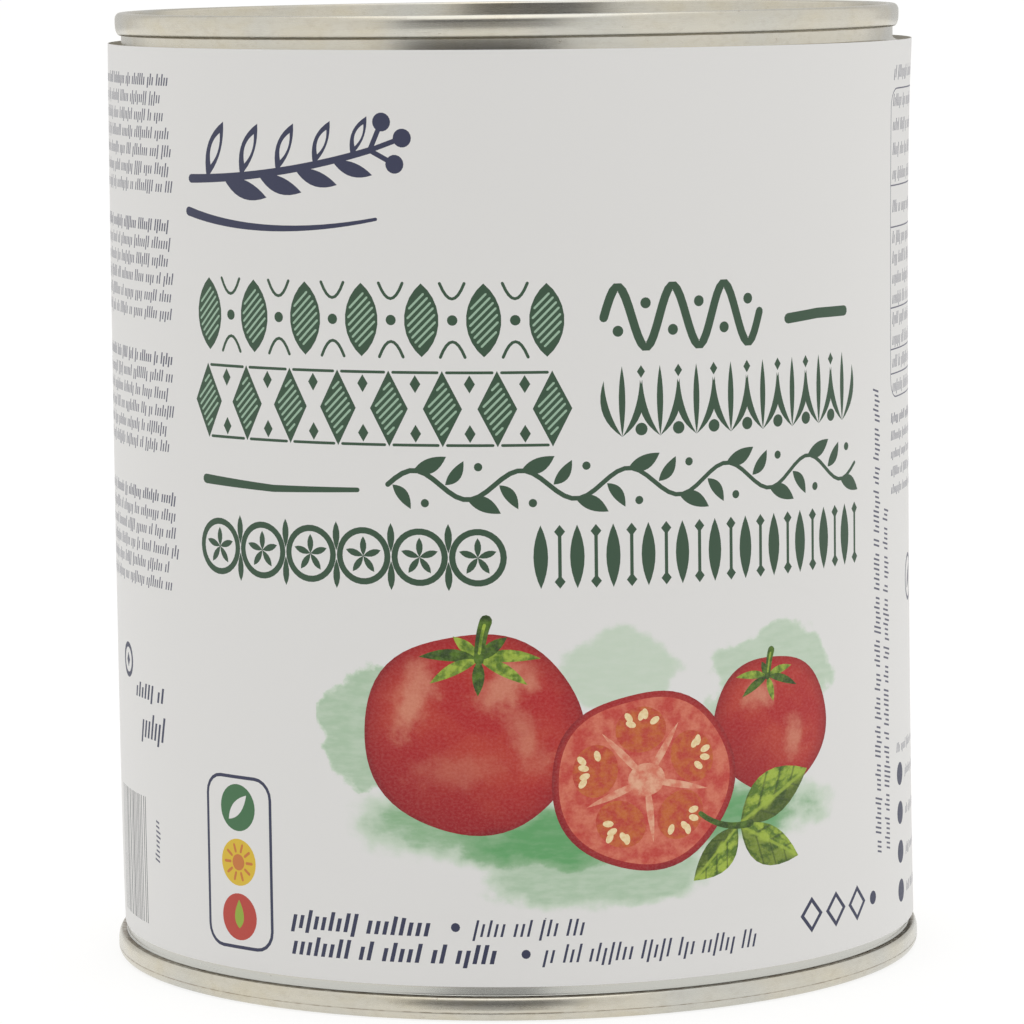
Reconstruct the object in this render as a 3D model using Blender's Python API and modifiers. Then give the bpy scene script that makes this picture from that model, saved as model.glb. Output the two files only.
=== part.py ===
"""A shut tin of tomatoes: a necked-in, stackable steel can with a paper label round it.

Metres, +Z up. The tin stands on z = 0, centred on the Z axis. Every piece is a turned shape, so each
one is a profile in millimetres, given as (radius, height) points, with a Screw modifier.
"""
import math

import bpy

MM = 0.001
HEIGHT = 118.0
BODY_RADIUS = 49.5
GAP = 0.3  # between pieces that touch on the real tin
PLATE = 0.25  # sheet thickness of the two ends
SEGMENTS = 64

# Paper label
PAPER = 0.2
LABEL_INNER = BODY_RADIUS + GAP
LABEL_OUTER = LABEL_INNER + PAPER
LABEL_BOTTOM = 4.0
LABEL_TOP = 114.0

# Double seams, measured from each seam's crest into the tin
SEAM_HEIGHT = 2.75
CREST_ROUND = 0.65
HOOK_ROUND = (0.5, 1.4)  # across and along the tin: the seam's face is slightly crowned
HOOK_STEPS = 4
TOP_SEAM_OUTER = 48.8
TOP_SEAM_INNER = 47.3
BASE_SEAM_OUTER = 50.65
BASE_SEAM_INNER = 49.1

# Pressed panels of the two ends
TOP_CHUCK_FOOT = 47.0  # radius where the top end's wall meets its countersink
BASE_CHUCK_FOOT = 48.6
COUNTERSINK_DEPTH = 4.4
COUNTERSINK_ROUND = 0.55
PANEL_DEPTH = 3.4
PANEL_CORNER = 0.35
BEAD_DEPTH = 0.5
BEAD_RADII = (31.0, 40.0)
BEAD_FLOOR = 0.6  # half width at the bottom of a bead
BEAD_MOUTH = 1.5  # half width at its mouth

# Neck under the top seam, and the flare above the base seam
NECK_RADIUS = 48.05
NECK_FOOT = 112.9
NECK_TOP = 113.9
NECK_STEPS = 5
NECK_RIM_INNER = 47.78
FLARE_RADIUS = 49.65
FLARE_TOP = 4.0
BASE_RIM_INNER = 49.4
BASE_RIM_ROOT = 49.1

# sRGB colours of the bare tinplate and of the paper, read by eye from the photograph
TINPLATE = (0.78, 0.745, 0.675)
PAPER_WHITE = (0.86, 0.855, 0.84)


def arc(centre, radius, start, end, steps):
    """Points of an arc in degrees; 0 is outwards, 90 is on along the second axis."""
    points = []
    for step in range(steps + 1):
        angle = math.radians(start + (end - start) * step / steps)
        points.append((centre[0] + radius * math.cos(angle), centre[1] + radius * math.sin(angle)))
    return points


def panel_line(offset):
    """The pressed panel from the axis outwards, as (radius, depth) under the crest."""
    flat = PANEL_DEPTH + offset
    points = [(0.0, flat)]
    for bead in BEAD_RADII:
        points.append((bead - BEAD_MOUTH, flat))
        points.append((bead - BEAD_FLOOR, flat + BEAD_DEPTH))
        points.append((bead + BEAD_FLOOR, flat + BEAD_DEPTH))
        points.append((bead + BEAD_MOUTH, flat))
    return points


def end_profile(seam_outer, seam_inner, chuck_foot):
    """Section of one end as (radius, depth) points: over the seam from the outer face to the inner."""
    sink = (chuck_foot - COUNTERSINK_ROUND, COUNTERSINK_DEPTH - COUNTERSINK_ROUND)
    panel_edge = sink[0] - COUNTERSINK_ROUND
    points = panel_line(0.0)
    points.append((panel_edge - PANEL_CORNER, PANEL_DEPTH))
    points.append((panel_edge, PANEL_DEPTH + PANEL_CORNER))
    points += arc(sink, COUNTERSINK_ROUND, 180.0, 0.0, 4)
    points += arc((seam_inner + CREST_ROUND, CREST_ROUND), CREST_ROUND, 180.0, 270.0, 3)
    points += arc((seam_outer - CREST_ROUND, CREST_ROUND), CREST_ROUND, 270.0, 360.0, 3)
    for step in range(HOOK_STEPS + 1):
        angle = math.radians(90.0 * step / HOOK_STEPS)
        radius = seam_outer - HOOK_ROUND[0] * (1.0 - math.cos(angle))
        points.append((radius, SEAM_HEIGHT - HOOK_ROUND[1] * (1.0 - math.sin(angle))))
    points.append((seam_inner + PLATE, SEAM_HEIGHT))
    points += arc(sink, COUNTERSINK_ROUND + PLATE, 0.0, 180.0, 4)
    points.append((panel_edge - PLATE, PANEL_DEPTH + PANEL_CORNER + PLATE))
    points.append((panel_edge - PLATE - PANEL_CORNER, PANEL_DEPTH + PLATE))
    points += reversed(panel_line(PLATE))
    return points


def top_end_profile():
    section = end_profile(TOP_SEAM_OUTER, TOP_SEAM_INNER, TOP_CHUCK_FOOT)
    return [(radius, HEIGHT - depth) for radius, depth in section]


def bottom_end_profile():
    return list(reversed(end_profile(BASE_SEAM_OUTER, BASE_SEAM_INNER, BASE_CHUCK_FOOT)))


def body_profile():
    """The filled body, between the two ends."""
    fill = COUNTERSINK_DEPTH + PLATE + GAP
    rim = SEAM_HEIGHT + GAP
    points = [(0.0, HEIGHT - fill)]
    points.append((NECK_RIM_INNER, HEIGHT - fill))
    points.append((NECK_RIM_INNER, HEIGHT - rim))
    points.append((NECK_RADIUS, HEIGHT - rim))
    for step in range(NECK_STEPS + 1):
        share = step / NECK_STEPS
        ease = share * share * (3.0 - 2.0 * share)
        radius = NECK_RADIUS + (BODY_RADIUS - NECK_RADIUS) * ease
        points.append((radius, NECK_TOP + (NECK_FOOT - NECK_TOP) * share))
    points.append((BODY_RADIUS, FLARE_TOP))
    points.append((FLARE_RADIUS, rim))
    points.append((BASE_RIM_INNER, rim))
    points.append((BASE_RIM_ROOT, fill))
    points.append((0.0, fill))
    return points


def label_profile():
    return [
        (LABEL_OUTER, LABEL_TOP),
        (LABEL_OUTER, LABEL_BOTTOM),
        (LABEL_INNER, LABEL_BOTTOM),
        (LABEL_INNER, LABEL_TOP),
    ]


def linear(colour):
    """An sRGB colour as Blender's linear RGBA."""
    return tuple(((value + 0.055) / 1.055) ** 2.4 for value in colour) + (1.0,)


def plain_material(name, colour, metallic, roughness):
    material = bpy.data.materials.new(name)
    material.use_nodes = True
    shader = material.node_tree.nodes["Principled BSDF"]
    shader.inputs["Base Color"].default_value = linear(colour)
    shader.inputs["Metallic"].default_value = metallic
    shader.inputs["Roughness"].default_value = roughness
    material.diffuse_color = linear(colour)
    return material


def turned(name, profile, closed, material, collection):
    """A turned solid; the profile runs down its outer side."""
    mesh = bpy.data.meshes.new(name)
    count = len(profile)
    edges = [(i, i + 1) for i in range(count - 1)]
    if closed:
        edges.append((count - 1, 0))
    mesh.from_pydata([(radius * MM, 0.0, height * MM) for radius, height in profile], edges, [])
    mesh.materials.append(material)
    solid = bpy.data.objects.new(name, mesh)
    collection.objects.link(solid)
    screw = solid.modifiers.new("Turn", "SCREW")
    screw.axis = "Z"
    screw.angle = math.tau
    screw.steps = SEGMENTS
    screw.render_steps = SEGMENTS
    screw.use_merge_vertices = True
    screw.merge_threshold = 0.00001
    screw.use_smooth_shade = True
    return solid


def clear_scene():
    for old in list(bpy.data.objects):
        bpy.data.objects.remove(old, do_unlink=True)


clear_scene()
tin = bpy.data.collections.new("tin_of_tomatoes")
bpy.context.scene.collection.children.link(tin)

tinplate = plain_material("tinplate", TINPLATE, 0.85, 0.38)
end_plate = plain_material("end_plate", TINPLATE, 0.85, 0.34)
paper = plain_material("paper", PAPER_WHITE, 0.0, 0.6)

turned("can_body", body_profile(), False, tinplate, tin)
turned("top_end", top_end_profile(), False, end_plate, tin)
turned("bottom_end", bottom_end_profile(), False, end_plate, tin)
turned("label", label_profile(), True, paper, tin)
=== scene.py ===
"""Looks of the tin of tomatoes: finer steel pieces over the CAD solids, and the printed paper label.

Lengths are in millimetres until a mesh is made. The label is drawn flat, as the paper was printed:
u runs round the tin, 0 at the front and positive to the right, and v is the height above the floor.
"""
import math
import random

import bpy
from mathutils import Matrix, Vector
from mathutils.geometry import delaunay_2d_cdt


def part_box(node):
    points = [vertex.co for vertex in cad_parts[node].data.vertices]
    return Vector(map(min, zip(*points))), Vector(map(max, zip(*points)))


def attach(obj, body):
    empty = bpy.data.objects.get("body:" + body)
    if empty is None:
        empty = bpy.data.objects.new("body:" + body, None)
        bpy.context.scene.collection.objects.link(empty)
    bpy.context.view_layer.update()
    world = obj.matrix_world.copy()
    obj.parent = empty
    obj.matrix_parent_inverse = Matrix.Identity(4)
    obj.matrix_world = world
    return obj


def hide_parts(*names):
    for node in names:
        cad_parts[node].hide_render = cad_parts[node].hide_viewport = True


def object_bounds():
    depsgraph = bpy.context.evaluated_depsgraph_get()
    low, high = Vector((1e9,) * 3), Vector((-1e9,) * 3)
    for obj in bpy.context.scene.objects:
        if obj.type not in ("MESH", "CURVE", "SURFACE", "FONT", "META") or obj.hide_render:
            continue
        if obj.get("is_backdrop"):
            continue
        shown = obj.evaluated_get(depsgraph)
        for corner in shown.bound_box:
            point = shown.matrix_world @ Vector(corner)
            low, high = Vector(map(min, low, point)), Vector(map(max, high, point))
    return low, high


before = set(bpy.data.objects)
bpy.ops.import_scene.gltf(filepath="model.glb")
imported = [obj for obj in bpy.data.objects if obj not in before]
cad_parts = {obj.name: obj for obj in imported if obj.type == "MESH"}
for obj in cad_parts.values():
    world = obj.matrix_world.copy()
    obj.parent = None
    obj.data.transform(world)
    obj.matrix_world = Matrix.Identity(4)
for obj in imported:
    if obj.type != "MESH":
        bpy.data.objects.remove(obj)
cad_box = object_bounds()
random.seed(11)

MM = 0.001


def corners_of(node):
    """The low and the high corner of a CAD node's box."""
    low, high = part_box(node)
    return low / MM, high / MM


# Read from the frame
LABEL_LOW, LABEL_HIGH = corners_of("label")
BODY_LOW, BODY_HIGH = corners_of("can_body")
TOP_HIGH = corners_of("top_end")[1]
HEIGHT = TOP_HIGH.z
LABEL_BOTTOM = LABEL_LOW.z
LABEL_TOP = LABEL_HIGH.z
TOP_SEAM_OUTER = TOP_HIGH.x
BASE_SEAM_OUTER = corners_of("bottom_end")[1].x
FLARE_RADIUS = BODY_HIGH.x
RIM = BODY_LOW.z  # the CAD body's edges stop this far inside the crest of each seam

# Steel: sizes as in the CAD, with finer rounds and gaps
BODY_RADIUS = 49.5
GAP = 0.3
PLATE = 0.25
SEAM_HEIGHT = RIM - GAP
CLOSE = 0.04  # the gap between body and seams as it looks on the real tin
UNDER_SEAM = 0.01  # the body's rim stops this far short of each seam
CREST_ROUND = (0.65, 0.85)  # outer edge of each seam, across and along the tin
CREST_INNER_ROUND = 0.35
HOOK_ROUND = (0.5, 1.4)  # across and along the tin: the seam's face is slightly crowned
TOP_SEAM_INNER = 47.3
BASE_SEAM_INNER = 49.1
TOP_CHUCK_FOOT = 47.0
BASE_CHUCK_FOOT = 48.6
COUNTERSINK_DEPTH = 4.4
COUNTERSINK_ROUND = 0.55
PANEL_DEPTH = 3.4
PANEL_CORNER = 0.35
PANEL_MIDDLE = 12.0  # radius of a ring that halves the flat middle of the panel
BEAD_DEPTH = 0.5
BEAD_RADII = (31.0, 40.0)
BEAD_MOUTH = 1.5
BEAD_STEPS = 12
NECK_RADIUS = 48.05
NECK_FOOT = 112.9
NECK_TOP = 113.9
NECK_STEPS = 14
NECK_RIM_INNER = 47.78
FLARE_ROUND = 0.3  # the wall turns out to the base seam on this radius
FLARE_STEPS = 6
BASE_RIM_INNER = 49.4
BASE_RIM_ROOT = 49.1
ARC_STEPS = 8
PANEL_STEPS = 5
HOOK_STEPS = 14
TURN_STEPS = 288
MAP_EDGE = 0.002  # how far a turned piece's own map stays off its border, as a share
FOLD_LINE = 0.98  # the fine line on the base seam, above the crest
FOLD_DEPTH = 0.05
FOLD_HALF = 0.07

# Paper
PAPER_RADIUS = LABEL_HIGH.x - 0.02
PAPER = 0.1
SKEW = (0.03, 0.27)  # how much higher the left side was wrapped, at the foot and at the top
LAP = 8.0  # how far the paper's end lies over its start, at the back
LAP_LIFT = 0.13
LAP_RAMP = 5.0
HALF_TURN = math.pi * PAPER_RADIUS
GRID_COLUMNS = 144
GRID_ROWS = 20
PICTURE_LIFT = 0.012


def linear(colour, gain=1.0):
    """sRGB bytes as linear RGBA."""
    def channel(byte):
        value = byte / 255
        return gain * (value / 12.92 if value <= 0.04045 else ((value + 0.055) / 1.055) ** 2.4)
    return (*map(channel, colour), 1.0)


def linked(name, data):
    """A new object in the scene, of a mesh, a camera or a light."""
    made = bpy.data.objects.new(name, data)
    bpy.context.scene.collection.objects.link(made)
    return made


class Tree:
    """Short names for the shader nodes that the materials here are made of."""

    def __init__(self, name):
        self.material = bpy.data.materials.new(name)
        self.material.use_nodes = True
        self.nodes = self.material.node_tree.nodes
        self.links = self.material.node_tree.links
        self.shader = self.nodes["Principled BSDF"]

    def put(self, value, socket):
        if isinstance(value, bpy.types.NodeSocket):
            self.links.new(value, socket)
        elif value is not None:
            socket.default_value = value

    def node(self, kind, inputs, **settings):
        """The outputs of a new node, which gets its settings and then its inputs."""
        node = self.nodes.new("ShaderNode" + kind)
        for name, value in settings.items():
            setattr(node, name, value)
        for name, value in inputs.items():
            self.put(value, node.inputs[name])
        return node.outputs

    def math(self, operation, a, b=None):
        return self.node("Math", {0: a, 1: b}, operation=operation)[0]

    def vector(self, operation, a, b=None):
        outputs = self.node("VectorMath", {0: a, 1: b}, operation=operation)
        return outputs["Value" if operation in ("LENGTH", "DOT_PRODUCT") else "Vector"]

    def plus(self, value, other, weight):
        """The value and a share of another one."""
        return self.math("ADD", value, self.math("MULTIPLY", other, weight))

    def mix(self, factor, a, b):
        return self.node("Mix", {0: factor, 6: a, 7: b}, data_type="RGBA")[2]

    def span(self, value, low, high, to_low=0.0, to_high=1.0):
        """Smoothly maps low..high to to_low..to_high, clamped."""
        inputs = dict(enumerate((value, low, high, to_low, to_high)))
        return self.node("MapRange", inputs, interpolation_type="SMOOTHSTEP")[0]

    def over(self, colour, paint, value, low, high, most=1.0):
        """The colour with a paint over it, which sets in from low to high."""
        return self.mix(self.span(value, low, high, 0.0, most), colour, paint)

    def noise(self, where, size, detail, roughness):
        """Noise over the coordinates times a size for each axis."""
        place = self.vector("MULTIPLY", where, size)
        inputs = {"Vector": place, "Scale": 1.0, "Detail": detail, "Roughness": roughness}
        return self.node("TexNoise", inputs)["Fac"]

    def split(self, vector):
        return self.node("SeparateXYZ", {0: vector})

    def place(self):
        """Where on the object, in millimetres."""
        return self.vector("MULTIPLY", self.node("TexCoord", {})["Object"], (1 / MM, 1 / MM, 1 / MM))

    def printed(self):
        """Where on the flat print, in millimetres."""
        return self.node("UVMap", {}, uv_map="Print")[0]

    def local(self, centre, size, turn=0.0, where=None):
        """Coordinates about a motif, so that its outline is about 1 from its middle."""
        inputs = {
            "Vector": self.printed() if where is None else where,
            "Location": (*centre, 0.0),
            "Rotation": (0.0, 0.0, turn),
            "Scale": (*size, 1.0),
        }
        return self.node("Mapping", inputs, vector_type="TEXTURE")[0]

    def bump(self, height, distance, strength):
        """Bump with the height's full range worth distance metres."""
        inputs = {"Height": height, "Distance": distance, "Strength": strength}
        self.set(Normal=self.node("Bump", inputs)[0])

    def set(self, **values):
        for name, value in values.items():
            self.put(value, self.shader.inputs[name.replace("_", " ")])


# Steel

TIN = linear((206, 201, 187))
TIN_YELLOW = linear((200, 190, 162))
TIN_GREY = linear((196, 196, 190))
# brown of real stains, and of the painted shade in the lines at given heights
STAIN_AND_SHADE = linear((116, 92, 62))
GREY_BELOW = (4.6, 3.4)  # heights between which the body turns grey towards its foot


def tinplate(name, marks, gloss, grey_foot=0.0):
    """Tinned steel, faintly mottled and stained, with uneven brown lines at the given heights, partly dirt
    and partly painted shade.
    """
    tree = Tree(name)
    place = tree.place()
    _, _, z = tree.split(place)
    mottle = tree.noise(place, (0.22, 0.22, 0.5), 3.0, 0.55)
    clouds = tree.noise(place, (0.06, 0.06, 0.06), 2.0, 0.5)
    rub = tree.noise(place, (0.10, 0.10, 3.0), 3.0, 0.5)
    grain = tree.noise(place, (0.8, 0.8, 1.6), 4.0, 0.6)
    specks = tree.noise(place, (0.9, 0.9, 1.8), 2.0, 0.5)
    colour = tree.over(TIN, TIN_YELLOW, mottle, 0.42, 0.72, 0.32)
    colour = tree.over(colour, TIN_GREY, clouds, 0.42, 0.72, 0.85)
    colour = tree.over(colour, STAIN_AND_SHADE, grain, 0.45, 0.75, 0.10)
    colour = tree.over(colour, TIN_GREY, z, *GREY_BELOW, grey_foot)
    broken = tree.span(specks, 0.36, 0.62, 0.2, 1.0)
    stain_and_shade = tree.span(specks, 0.73, 0.80, 0.0, 0.35)
    # each line at a given height: brown dirt and painted shade, strongest at its middle
    for height, reach, depth in marks:
        away = tree.math("ABSOLUTE", tree.math("SUBTRACT", z, height))
        line = tree.math("MULTIPLY", tree.span(away, 0.0, reach, depth, 0.0), broken)
        stain_and_shade = tree.math("MAXIMUM", stain_and_shade, line)
    rough = tree.plus(tree.span(rub, 0.3, 0.75, gloss, gloss + 0.03), stain_and_shade, 0.2)
    tree.set(Base_Color=tree.mix(stain_and_shade, colour, STAIN_AND_SHADE), Metallic=1.0, Roughness=rough)
    tree.bump(tree.plus(tree.math("MULTIPLY", rub, 0.6), grain, 0.4), 0.00001, 0.1)
    return tree.material


def around(centre, size, angle, turn=0.0):
    """The point of an ellipse at an angle in radians; the ellipse itself may be turned."""
    x, y = size[0] * math.cos(angle), size[1] * math.sin(angle)
    return (
        centre[0] + x * math.cos(turn) - y * math.sin(turn),
        centre[1] + x * math.sin(turn) + y * math.cos(turn),
    )


def polar(centre, reach, degrees):
    """The point at a distance; 0 is outwards, 90 is on along the second axis."""
    return around(centre, (reach, reach), math.radians(degrees))


def arc(centre, radius, start, end, steps=ARC_STEPS):
    return [polar(centre, radius, start + (end - start) * step / steps) for step in range(steps + 1)]


def quarter(corner, size, start, end):
    """An outer corner of a seam, rounded as a quarter of an ellipse."""
    x = corner[0] - size[0]
    y = corner[1] + (size[1] if start == 270.0 else -size[1])
    unit = arc((x, y), 1.0, start, end, HOOK_STEPS)
    return [(x + size[0] * (u - x), y + size[1] * (v - y)) for u, v in unit]


def panel_line(offset):
    """The pressed panel from the axis outwards, as (radius, depth) under the crest."""
    flat = PANEL_DEPTH + offset
    points = [(0.0, flat), (PANEL_MIDDLE, flat)]
    for bead in BEAD_RADII:
        for step in range(BEAD_STEPS + 1):
            across = -1.0 + 2.0 * step / BEAD_STEPS
            dip = BEAD_DEPTH * (0.5 + 0.5 * math.cos(math.pi * across))
            points.append((bead + across * BEAD_MOUTH, flat + dip))
    return points


def fold_line(outer):
    """A fine groove where the base seam's sheet folds under, from the crest's side up."""
    return [
        (outer, FOLD_LINE - FOLD_HALF),
        (outer - FOLD_DEPTH, FOLD_LINE),
        (outer, FOLD_LINE + FOLD_HALF),
    ]


def end_profile(seam_outer, seam_inner, chuck_foot, folded):
    """Section of one end as (radius, depth) points: over the seam from the inner face to the outer."""
    sink = (chuck_foot - COUNTERSINK_ROUND, COUNTERSINK_DEPTH - COUNTERSINK_ROUND)
    panel_edge = sink[0] - COUNTERSINK_ROUND
    corner = (panel_edge - PANEL_CORNER, PANEL_DEPTH + PANEL_CORNER)
    crest = (seam_inner + CREST_INNER_ROUND, CREST_INNER_ROUND)
    points = panel_line(0.0)
    points += arc(corner, PANEL_CORNER, 270.0, 360.0, PANEL_STEPS)
    points += arc(sink, COUNTERSINK_ROUND, 180.0, 0.0)
    points += arc(crest, CREST_INNER_ROUND, 180.0, 270.0)
    points += quarter((seam_outer, 0.0), CREST_ROUND, 270.0, 360.0)
    if folded:
        points += fold_line(seam_outer)
    points += quarter((seam_outer, SEAM_HEIGHT), HOOK_ROUND, 0.0, 90.0)
    points.append((seam_inner + PLATE, SEAM_HEIGHT))
    points += arc(sink, COUNTERSINK_ROUND + PLATE, 0.0, 180.0)
    points.append((panel_edge - PLATE, PANEL_DEPTH + PANEL_CORNER + PLATE))
    points.append((panel_edge - PLATE - PANEL_CORNER, PANEL_DEPTH + PLATE))
    points += reversed(panel_line(PLATE))
    return points


def body_profile():
    """The body between the two ends, filled as in the CAD."""
    fill = COUNTERSINK_DEPTH + PLATE + GAP
    edge = SEAM_HEIGHT + CLOSE
    rim = SEAM_HEIGHT + UNDER_SEAM
    points = [
        (0.0, HEIGHT - fill),
        (NECK_RIM_INNER, HEIGHT - fill),
        (NECK_RIM_INNER, HEIGHT - rim),
        (NECK_RADIUS - CLOSE, HEIGHT - rim),
        (NECK_RADIUS - CLOSE, HEIGHT - edge),
        (NECK_RADIUS, HEIGHT - edge),
    ]
    for step in range(NECK_STEPS + 1):
        share = step / NECK_STEPS
        ease = share * share * (3.0 - 2.0 * share)
        radius = NECK_RADIUS + (BODY_RADIUS - NECK_RADIUS) * ease
        points.append((radius, NECK_TOP + (NECK_FOOT - NECK_TOP) * share))
    flare = math.acos(1.0 - (FLARE_RADIUS - BODY_RADIUS) / FLARE_ROUND)
    for step in range(FLARE_STEPS + 1):
        angle = flare * step / FLARE_STEPS
        radius = BODY_RADIUS + FLARE_ROUND * (1.0 - math.cos(angle))
        points.append((radius, edge + FLARE_ROUND * (math.sin(flare) - math.sin(angle))))
    points += [(FLARE_RADIUS - CLOSE, edge), (FLARE_RADIUS - CLOSE, rim)]
    points += [(BASE_RIM_INNER, rim), (BASE_RIM_ROOT, fill), (0.0, fill)]
    return points


def turned(name, profile, material):
    """A solid of revolution. Its own map unrolls it, so that the finish stays sharp when baked."""
    lengths = [0.0]
    for before, here in zip(profile, profile[1:]):
        lengths.append(lengths[-1] + math.dist(before, here))
    places, rings = [], []
    for radius, height in profile:
        count = TURN_STEPS if radius else 1
        rings.append(range(len(places), len(places) + count))
        for step in range(count):
            angle = math.tau * step / TURN_STEPS
            places.append((radius * math.cos(angle) * MM, radius * math.sin(angle) * MM, height * MM))
    faces, spots = [], []
    for row in range(len(profile) - 1):
        for step in range(TURN_STEPS):
            face = {}
            for ring, turn in ((row, step + 1), (row, step), (row + 1, step), (row + 1, step + 1)):
                corner = rings[ring][turn % len(rings[ring])]
                spot = (turn / TURN_STEPS, 1.0 - lengths[ring] / lengths[-1])
                face.setdefault(corner, [MAP_EDGE + (1.0 - 2.0 * MAP_EDGE) * share for share in spot])
            faces.append(list(face))
            spots += face.values()
    mesh = bpy.data.meshes.new(name)
    mesh.from_pydata(places, [], faces)
    for loop, spot in zip(mesh.uv_layers.new(name="OFBake").data, spots):
        loop.uv = spot
    mesh.materials.append(material)
    mesh.shade_smooth()
    mesh.set_sharp_from_angle(angle=math.radians(40))
    return linked(name, mesh)


def steel():
    """The three steel pieces, each in place of its CAD node."""
    # brown lines of dirt and painted shade in the gaps between body and seams, and along the base seam's
    # fold
    gaps = ((HEIGHT - SEAM_HEIGHT - CLOSE / 2, 0.05, 0.5), (SEAM_HEIGHT + CLOSE / 2, 0.07, 0.7))
    plate = tinplate("end_plate", gaps + ((FOLD_LINE, 0.10, 0.55),), 0.26)
    wall = tinplate("tinplate", gaps, 0.25, 1.0)
    top = end_profile(TOP_SEAM_OUTER, TOP_SEAM_INNER, TOP_CHUCK_FOOT, False)
    base = end_profile(BASE_SEAM_OUTER, BASE_SEAM_INNER, BASE_CHUCK_FOOT, True)
    pieces = {
        "top_end": (turned("top_end_steel", [(r, HEIGHT - d) for r, d in top], plate), "end_plate"),
        "bottom_end": (turned("bottom_end_steel", list(reversed(base)), plate), "end_plate"),
        "can_body": (turned("can_body_steel", body_profile(), wall), "tinplate"),
    }
    for node, (piece, slot) in pieces.items():
        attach(piece, "root")
        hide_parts(node)


# Outlines for the flat print

def between(start, end, share):
    return (start[0] + (end[0] - start[0]) * share, start[1] + (end[1] - start[1]) * share)


def ellipse(centre, size, turn=0.0, corners=28):
    return [around(centre, size, math.tau * step / corners, turn) for step in range(corners)]


def disc(centre, radius, corners=20):
    return ellipse(centre, (radius, radius), 0.0, corners)


def box(left, bottom, right, top, corner=0.0, steps=5):
    """A rectangle that may have round corners."""
    if corner == 0.0:
        return [(left, bottom), (right, bottom), (right, top), (left, top)]
    near, far, low, high = left + corner, right - corner, bottom + corner, top - corner
    points = []
    for x, y, start in ((far, low, 270.0), (far, high, 0.0), (near, high, 90.0), (near, low, 180.0)):
        points += arc((x, y), corner, start, start + 90.0, steps)
    return points


def lozenge(centre, width, height):
    x, y = centre
    return [(x - width / 2, y), (x, y - height / 2), (x + width / 2, y), (x, y + height / 2)]


def vesica(centre, width, height, steps=9):
    """An upright pointed oval of two equal arcs."""
    x, y = centre
    reach = (height * height / 4 + width * width / 4) / width
    spread = math.degrees(math.asin(height / 2 / reach))
    right = arc((x - reach + width / 2, y), reach, -spread, spread, steps)
    left = arc((x + reach - width / 2, y), reach, 180.0 - spread, 180.0 + spread, steps)
    return right[:-1] + left[:-1]


def stroke(points, width, end_width=None, caps=5):
    """A line of the pen with round ends, as one outline; it may taper to end_width."""
    end_width = width if end_width is None else end_width
    total = len(points) - 1
    left, right = [], []
    for index, (x, y) in enumerate(points):
        x0, y0 = points[max(index - 1, 0)]
        x1, y1 = points[min(index + 1, total)]
        length = math.hypot(x1 - x0, y1 - y0)
        half = (width + (end_width - width) * index / total) / 2
        nx, ny = -(y1 - y0) / length * half, (x1 - x0) / length * half
        left.append((x + nx, y + ny))
        right.append((x - nx, y - ny))
    heading = math.degrees(math.atan2(points[-1][1] - points[-2][1], points[-1][0] - points[-2][0]))
    tail = math.degrees(math.atan2(points[1][1] - points[0][1], points[1][0] - points[0][0]))
    front = arc(points[-1], end_width / 2, heading - 90.0, heading + 90.0, caps)
    back = arc(points[0], width / 2, tail + 90.0, tail + 270.0, caps)
    return right[1:-1] + front + list(reversed(left[1:-1])) + back


def curve(start, control, end, steps=10):
    """Points of a quadratic Bezier curve."""
    points = []
    for step in range(steps + 1):
        t = step / steps
        points.append(between(between(start, control, t), between(control, end, t), t))
    return points


def leaf(base, tip, width, bend=0.0, belly=0.42, steps=9):
    """A pointed leaf from base to tip; bend moves its middle sideways, as a share of its length."""
    length = math.dist(base, tip)
    nx, ny = (base[1] - tip[1]) / length, (tip[0] - base[0]) / length
    middle = between(base, tip, belly)
    sides = []
    for side in (1.0, -1.0):
        out = side * width + bend * length
        sides.append(curve(base, (middle[0] + nx * out, middle[1] + ny * out), tip, steps))
    return sides[1] + list(reversed(sides[0][1:-1]))


def inside_span(polygon, point, direction):
    """Where the line through point along direction enters and leaves a convex polygon."""
    hits = []
    for (x0, y0), (x1, y1) in zip(polygon, polygon[1:] + polygon[:1]):
        ex, ey = x1 - x0, y1 - y0
        cross = direction[0] * ey - direction[1] * ex
        if abs(cross) < 1e-9:
            continue
        along = ((x0 - point[0]) * ey - (y0 - point[1]) * ex) / cross
        edge = ((x0 - point[0]) * direction[1] - (y0 - point[1]) * direction[0]) / cross
        if 0.0 <= edge <= 1.0:
            hits.append(along)
    return (min(hits), max(hits)) if len(hits) > 1 else None


# The flat print: each function gives shapes as (ink, outline), and a later one covers those before it

HATCH_PITCH = 0.66
HATCH_LINE = 0.26
HATCH_SLOPE = math.radians(45.0)


def hatched(outline, inner):
    """A dark shape with pale slanting lines inside a convex inner outline."""
    yield "green", outline
    across = (math.cos(HATCH_SLOPE), math.sin(HATCH_SLOPE))
    middle = (sum(x for x, _ in inner) / len(inner), sum(y for _, y in inner) / len(inner))
    reach = max(math.dist(middle, corner) for corner in inner)
    count = int(reach / HATCH_PITCH)
    for index in range(-count, count + 1):
        offset = index * HATCH_PITCH
        point = (middle[0] - across[1] * offset, middle[1] + across[0] * offset)
        span = inside_span(inner, point, across)
        if span and span[1] - span[0] > 0.5:
            ends = [(point[0] + across[0] * t, point[1] + across[1] * t) for t in span]
            yield "hatch", stroke(ends, HATCH_LINE, caps=2)


def modules(left, right, count):
    """The middles of so many equal places in a row, and their pitch."""
    pitch = (right - left) / count
    return [left + pitch * (index + 0.5) for index in range(count)], pitch


def band(left, right, bottom, top, count):
    """The places of a band's motifs, the places between them, their pitch, the middle and the height."""
    places, pitch = modules(left, right, count)
    return places, [place + pitch / 2 for place in places[:-1]], pitch, (bottom + top) / 2, top - bottom


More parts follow.
